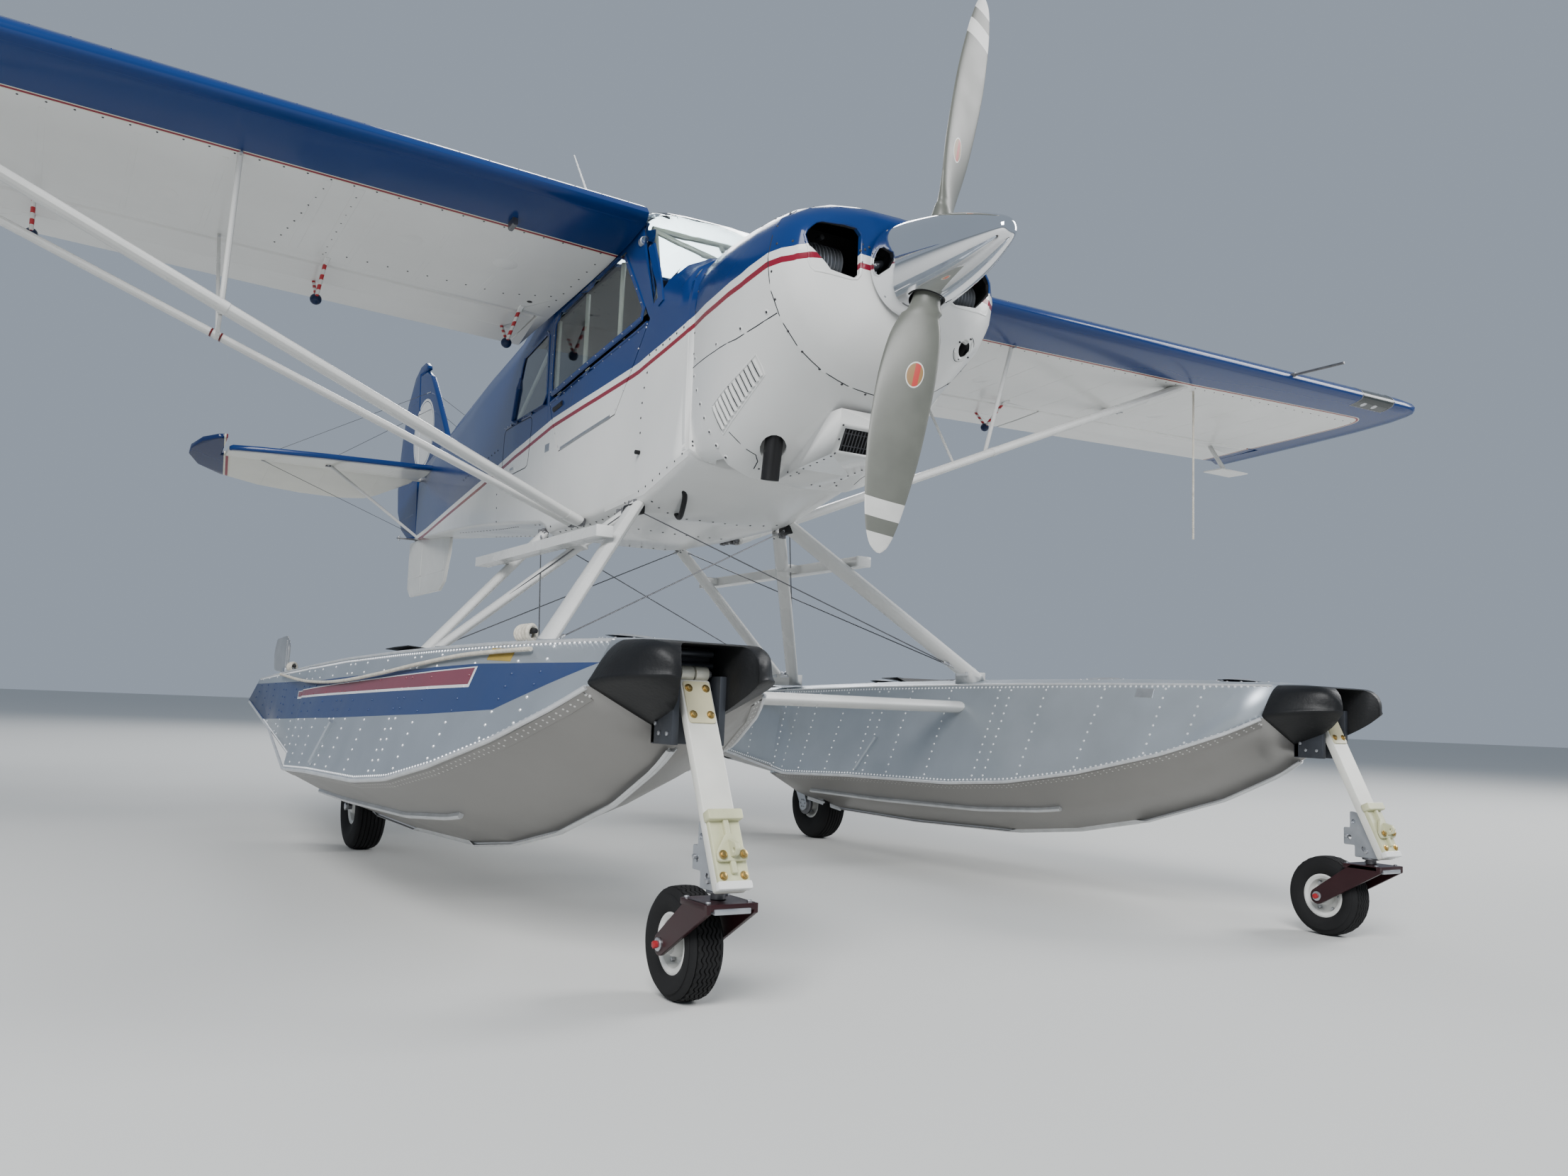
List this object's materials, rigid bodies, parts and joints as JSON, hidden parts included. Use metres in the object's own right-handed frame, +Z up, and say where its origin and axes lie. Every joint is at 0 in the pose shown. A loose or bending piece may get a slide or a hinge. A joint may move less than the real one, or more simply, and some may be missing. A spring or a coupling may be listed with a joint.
{
  "type": "light floatplane",
  "caption": "High-wing single-engine light floatplane on twin amphibious floats, with turning propeller, wheels, control surfaces, flaps, water rudders and a cabin door.",
  "frame": {"origin": "on the ground under the middle of the whole aircraft's box", "axes": "+Z up, nose towards -Y, +X to the pilot's left (port) wing tip"},
  "size_m": [10.822, 7.6645, 3.235],
  "materials": {
    "paint_blue": "gloss",
    "paint_white": "gloss",
    "aluminium": "satin",
    "chrome": "polished",
    "blade_grey": "satin",
    "tyre": "matte",
    "black_rubber": "matte",
    "engine_black": "matte",
    "clear_sheet": "gloss",
    "maroon_paint": "satin",
    "cream_paint": "satin",
    "seat_cloth": "matte",
    "steel": "satin",
    "rope": "matte"
  },
  "bodies": {
    "airframe": {"fuselage": "paint_white", "cowling": "paint_white", "nose_bowl": "paint_white", "engine_block": "engine_black", "windshield": "clear_sheet", "side_window_port": "clear_sheet", "cabin_frame": "steel", "seats": "seat_cloth", "wing_port": "paint_blue", "wing_starboard": "paint_blue", "lift_strut_front_port": "paint_white", "lift_strut_front_starboard": "paint_white", "lift_strut_rear_port": "paint_white", "lift_strut_rear_starboard": "paint_white", "jury_struts_port": "paint_white", "jury_struts_starboard": "paint_white", "fin": "paint_blue", "stabilizer": "paint_white", "ventral_fin": "paint_white", "tail_strut_port": "paint_white", "tail_strut_starboard": "paint_white", "float_port": "aluminium", "float_starboard": "aluminium", "bumper_port": "black_rubber", "bumper_starboard": "black_rubber", "nose_leg_port": "cream_paint", "nose_leg_starboard": "cream_paint", "main_leg_port": "steel", "main_leg_starboard": "steel", "float_strut_front_port": "paint_white", "float_strut_front_starboard": "paint_white", "float_struts_rear_port": "paint_white", "float_struts_rear_starboard": "paint_white", "spreader_front": "paint_white", "spreader_rear": "paint_white", "tie_down_rope": "rope", "mooring_line": "rope"},
    "propeller": {"spinner": "chrome", "propeller": "blade_grey"},
    "rudder": {"rudder": "paint_blue"},
    "elevator": {"elevator": "paint_white"},
    "door_lower": {"door_lower": "paint_white"},
    "door_window": {"door_window": "clear_sheet"},
    "aileron_port": {"aileron_port": "paint_white"},
    "flap_port": {"flap_port": "paint_white"},
    "castor_port": {"castor_fork_port": "maroon_paint"},
    "nose_wheel_port": {"nose_tyre_port": "tyre", "nose_rim_port": "paint_white"},
    "main_wheel_port": {"main_tyre_port": "tyre", "main_rim_port": "paint_white"},
    "water_rudder_port": {"water_rudder_port": "aluminium"},
    "aileron_starboard": {"aileron_starboard": "paint_white"},
    "flap_starboard": {"flap_starboard": "paint_white"},
    "castor_starboard": {"castor_fork_starboard": "maroon_paint"},
    "nose_wheel_starboard": {"nose_tyre_starboard": "tyre", "nose_rim_starboard": "paint_white"},
    "main_wheel_starboard": {"main_tyre_starboard": "tyre", "main_rim_starboard": "paint_white"},
    "water_rudder_starboard": {"water_rudder_starboard": "aluminium"}
  },
  "joints": [
    {"name": "propeller_spin", "type": "hinge", "parent": "airframe", "child": "propeller", "pos_m": [0, -2.952, 2.175], "axis": [0, 1, 0], "continuous": true},
    {"name": "rudder_turn", "type": "hinge", "parent": "airframe", "child": "rudder", "pos_m": [0, 3.228, 1.86], "axis": [0, 0.1323, 0.9912], "range_deg": [-25, 25]},
    {"name": "elevator_turn", "type": "hinge", "parent": "airframe", "child": "elevator", "pos_m": [0, 3.158, 2.3], "axis": [1, 0, 0], "range_deg": [-6, 42]},
    {"name": "aileron_turn_port", "type": "hinge", "parent": "airframe", "child": "aileron_port", "pos_m": [2.968, -0.31484, 2.67727], "axis": [0.9994, 0.0096, 0.0338], "range_deg": [-20, 20]},
    {"name": "aileron_turn_starboard", "type": "hinge", "parent": "airframe", "child": "aileron_starboard", "pos_m": [-2.968, -0.31484, 2.67727], "axis": [0.9994, -0.0096, -0.0338], "range_deg": [-20, 20]},
    {"name": "flap_turn_port", "type": "hinge", "parent": "airframe", "child": "flap_port", "pos_m": [0.56, -0.2557, 2.43637], "axis": [-0.9993, -0.0111, -0.0345], "range_deg": [0, 30]},
    {"name": "flap_turn_starboard", "type": "hinge", "parent": "airframe", "child": "flap_starboard", "pos_m": [-0.56, -0.2557, 2.43637], "axis": [-0.9993, 0.0111, 0.0345], "range_deg": [0, 30]},
    {"name": "castor_swivel_port", "type": "hinge", "parent": "airframe", "child": "castor_port", "pos_m": [1.177, -3.752, 0.24], "axis": [0, 0, 1], "range_deg": [-60, 60]},
    {"name": "nose_wheel_spin_port", "type": "hinge", "parent": "castor_port", "child": "nose_wheel_port", "pos_m": [1.177, -3.604, 0.126], "axis": [1, 0, 0], "continuous": true},
    {"name": "main_wheel_spin_port", "type": "hinge", "parent": "airframe", "child": "main_wheel_port", "pos_m": [1.177, -0.603, 0.18], "axis": [1, 0, 0], "continuous": true},
    {"name": "water_rudder_turn_port", "type": "hinge", "parent": "airframe", "child": "water_rudder_port", "pos_m": [1.177, 1.379, 0.65], "axis": [0, 0, 1], "range_deg": [-25, 25]},
    {"name": "castor_swivel_starboard", "type": "hinge", "parent": "airframe", "child": "castor_starboard", "pos_m": [-1.177, -3.752, 0.24], "axis": [0, 0, 1], "range_deg": [-60, 60]},
    {"name": "nose_wheel_spin_starboard", "type": "hinge", "parent": "castor_starboard", "child": "nose_wheel_starboard", "pos_m": [-1.177, -3.604, 0.126], "axis": [1, 0, 0], "continuous": true},
    {"name": "main_wheel_spin_starboard", "type": "hinge", "parent": "airframe", "child": "main_wheel_starboard", "pos_m": [-1.177, -0.603, 0.18], "axis": [1, 0, 0], "continuous": true},
    {"name": "water_rudder_turn_starboard", "type": "hinge", "parent": "airframe", "child": "water_rudder_starboard", "pos_m": [-1.177, 1.379, 0.65], "axis": [0, 0, 1], "range_deg": [-25, 25]},
    {"name": "door_lower_swing", "type": "hinge", "parent": "airframe", "child": "door_lower", "pos_m": [-0.399, -0.9255, 1.8775], "axis": [0, -0.9966, 0.0827], "range_deg": [0, 90]},
    {"name": "door_window_swing", "type": "hinge", "parent": "airframe", "child": "door_window", "pos_m": [-0.396, -0.871, 2.584], "axis": [0, 0.9945, -0.1044], "range_deg": [0, 80]}
  ],
  "couplings": [
    {"joint": "aileron_turn_starboard", "follows": "aileron_turn_port", "ratio": -1},
    {"joint": "flap_turn_starboard", "follows": "flap_turn_port", "ratio": 1},
    {"joint": "water_rudder_turn_port", "follows": "rudder_turn", "ratio": 1},
    {"joint": "water_rudder_turn_starboard", "follows": "rudder_turn", "ratio": 1}
  ]
}
